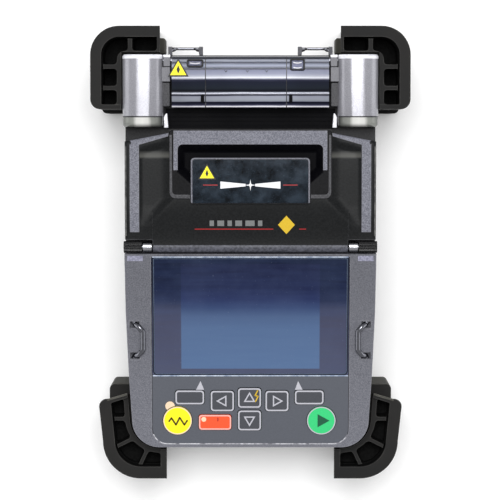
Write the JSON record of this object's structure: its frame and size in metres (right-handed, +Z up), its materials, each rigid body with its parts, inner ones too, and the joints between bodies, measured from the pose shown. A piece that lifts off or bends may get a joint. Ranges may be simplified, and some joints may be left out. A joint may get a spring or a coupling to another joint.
{
  "type": "fiber fusion splicer",
  "caption": "Handheld optical fiber fusion splicer with sloping screen and key panel, hinged wind cover, sleeve heater and ribbed rubber corner bumpers.",
  "frame": {"origin": "centre of the footprint, on the surface that the bumpers stand on", "axes": "+X operator's right, +Y away from the operator towards the heater, +Z up out of the screen side"},
  "size_m": [0.1614, 0.2317, 0.0815],
  "materials": {
    "casing": "dark grey, fine texture",
    "frame": "mid grey, speckled",
    "rubber": "matte black",
    "cover": "dark grey, fine texture",
    "gloss": "polished black",
    "screen": "display, switched off",
    "overlay": "matte film",
    "key_grey": "matte film",
    "key_yellow": "matte film",
    "key_green": "matte film",
    "key_orange": "matte film",
    "silver": "silver-grey satin paint",
    "clear": "clear, faintly smoked",
    "steel": "polished",
    "aluminium": "machined",
    "ceramic": "ground, off-white",
    "black": "black moulding",
    "board": "circuit board",
    "brass": "turned",
    "lens": "black anodised"
  },
  "bodies": {
    "base": {"lower_casing": "casing", "upper_casing": "casing", "panel_frame": "frame", "screen_window": "gloss", "screen_module": "screen", "keypad_plate": "overlay", "key_board": "board", "main_board": "board", "cover_seal": "rubber", "splice_chassis": "aluminium", "electrode_rear": "steel", "electrode_front": "steel", "microscope_front": "lens", "microscope_rear": "lens", "feed_motor_left": "steel", "feed_motor_right": "steel", "hinge_barrel_left": "black", "hinge_barrel_right": "black", "hinge_pin_left": "steel", "hinge_pin_right": "steel", "heater_block": "aluminium", "heater_hinge_rod": "steel", "bumper_rear_left": "rubber", "bumper_rear_right": "rubber", "bumper_front_left": "rubber", "bumper_front_right": "rubber", "port_block": "black", "arc_unit": "black", "tripod_bush": "brass"},
    "wind_cover": {"wind_cover": "cover", "cover_plate": "gloss", "cover_lamp": "ceramic"},
    "heater_lid": {"heater_lid": "clear"},
    "heater_clamp_left": {"heater_clamp_left": "silver"},
    "heater_clamp_right": {"heater_clamp_right": "silver"},
    "stage_left": {"stage_left": "aluminium", "v_groove_left": "ceramic"},
    "stage_right": {"stage_right": "aluminium", "v_groove_right": "ceramic"},
    "fiber_clamp_left": {"fiber_clamp_left": "black"},
    "fiber_clamp_right": {"fiber_clamp_right": "black"},
    "key_soft_left": {"key_soft_left": "key_grey"},
    "key_left": {"key_left": "key_grey"},
    "key_up": {"key_up": "key_grey"},
    "key_down": {"key_down": "key_grey"},
    "key_right": {"key_right": "key_grey"},
    "key_soft_right": {"key_soft_right": "key_grey"},
    "key_heat": {"key_heat": "key_yellow"},
    "key_power": {"key_power": "key_orange"},
    "key_start": {"key_start": "key_green"},
    "strap_ring_front_left": {"strap_ring_front_left": "steel"},
    "strap_ring_front_right": {"strap_ring_front_right": "steel"},
    "strap_ring_rear_left": {"strap_ring_rear_left": "steel"},
    "strap_ring_rear_right": {"strap_ring_rear_right": "steel"},
    "battery": {"battery_pack": "casing"},
    "battery_latch": {"battery_latch": "key_grey"},
    "port_cover": {"port_cover": "rubber"}
  },
  "joints": [
    {"name": "wind_cover_hinge", "type": "hinge", "parent": "base", "child": "wind_cover", "pos_m": [0, 0.0043, 0.0726], "axis": [1, 0, 0], "range_deg": [0, 95]},
    {"name": "heater_lid_hinge", "type": "hinge", "parent": "base", "child": "heater_lid", "pos_m": [0, 0.0982, 0.071], "axis": [-1, 0, 0], "range_deg": [0, 90]},
    {"name": "heater_clamp_left_hinge", "type": "hinge", "parent": "base", "child": "heater_clamp_left", "pos_m": [-0.0541, 0.0982, 0.071], "axis": [-1, 0, 0], "range_deg": [0, 60]},
    {"name": "heater_clamp_right_hinge", "type": "hinge", "parent": "base", "child": "heater_clamp_right", "pos_m": [0.0541, 0.0982, 0.071], "axis": [-1, 0, 0], "range_deg": [0, 60]},
    {"name": "stage_left_feed", "type": "slide", "parent": "base", "child": "stage_left", "axis": [1, 0, 0], "range_m": [0, 0.004]},
    {"name": "stage_right_feed", "type": "slide", "parent": "base", "child": "stage_right", "axis": [-1, 0, 0], "range_m": [0, 0.004]},
    {"name": "fiber_clamp_left_hinge", "type": "hinge", "parent": "stage_left", "child": "fiber_clamp_left", "pos_m": [-0.0412, 0.0424, 0.0618], "axis": [-1, 0, 0], "range_deg": [0, 80]},
    {"name": "fiber_clamp_right_hinge", "type": "hinge", "parent": "stage_right", "child": "fiber_clamp_right", "pos_m": [0.0412, 0.0424, 0.0618], "axis": [-1, 0, 0], "range_deg": [0, 80]},
    {"name": "key_soft_left_press", "type": "slide", "parent": "base", "child": "key_soft_left", "axis": [0, 0.1219, -0.9925], "range_m": [0, 0.0005], "stiffness_N_per_m": 900},
    {"name": "key_left_press", "type": "slide", "parent": "base", "child": "key_left", "axis": [0, 0.1219, -0.9925], "range_m": [0, 0.0005], "stiffness_N_per_m": 900},
    {"name": "key_up_press", "type": "slide", "parent": "base", "child": "key_up", "axis": [0, 0.1219, -0.9925], "range_m": [0, 0.0005], "stiffness_N_per_m": 900},
    {"name": "key_down_press", "type": "slide", "parent": "base", "child": "key_down", "axis": [0, 0.1219, -0.9925], "range_m": [0, 0.0005], "stiffness_N_per_m": 900},
    {"name": "key_right_press", "type": "slide", "parent": "base", "child": "key_right", "axis": [0, 0.1219, -0.9925], "range_m": [0, 0.0005], "stiffness_N_per_m": 900},
    {"name": "key_soft_right_press", "type": "slide", "parent": "base", "child": "key_soft_right", "axis": [0, 0.1219, -0.9925], "range_m": [0, 0.0005], "stiffness_N_per_m": 900},
    {"name": "key_heat_press", "type": "slide", "parent": "base", "child": "key_heat", "axis": [0, 0.1219, -0.9925], "range_m": [0, 0.0005], "stiffness_N_per_m": 900},
    {"name": "key_power_press", "type": "slide", "parent": "base", "child": "key_power", "axis": [0, 0.1219, -0.9925], "range_m": [0, 0.0005], "stiffness_N_per_m": 900},
    {"name": "key_start_press", "type": "slide", "parent": "base", "child": "key_start", "axis": [0, 0.1219, -0.9925], "range_m": [0, 0.0005], "stiffness_N_per_m": 900},
    {"name": "strap_ring_front_left_swing", "type": "hinge", "parent": "base", "child": "strap_ring_front_left", "pos_m": [-0.059, -0.04308, 0.06803], "axis": [0, -0.9925, -0.1219], "range_deg": [0, 72]},
    {"name": "strap_ring_front_right_swing", "type": "hinge", "parent": "base", "child": "strap_ring_front_right", "pos_m": [0.059, -0.04308, 0.06803], "axis": [0, 0.9925, 0.1219], "range_deg": [0, 72]},
    {"name": "strap_ring_rear_left_swing", "type": "hinge", "parent": "base", "child": "strap_ring_rear_left", "pos_m": [-0.0329, 0.1036, 0.057], "axis": [1, 0, 0], "range_deg": [0, 120]},
    {"name": "strap_ring_rear_right_swing", "type": "hinge", "parent": "base", "child": "strap_ring_rear_right", "pos_m": [0.0329, 0.1036, 0.057], "axis": [1, 0, 0], "range_deg": [0, 120]},
    {"name": "battery_slide", "type": "slide", "parent": "base", "child": "battery", "axis": [-1, 0, 0], "range_m": [0, 0.1]},
    {"name": "battery_latch_press", "type": "slide", "parent": "battery", "child": "battery_latch", "axis": [0, 0, -1], "range_m": [0, 0.0025], "stiffness_N_per_m": 350},
    {"name": "port_cover_hinge", "type": "hinge", "parent": "base", "child": "port_cover", "pos_m": [0.0622, 0.065, 0.0512], "axis": [0, -1, 0], "range_deg": [0, 95]}
  ]
}
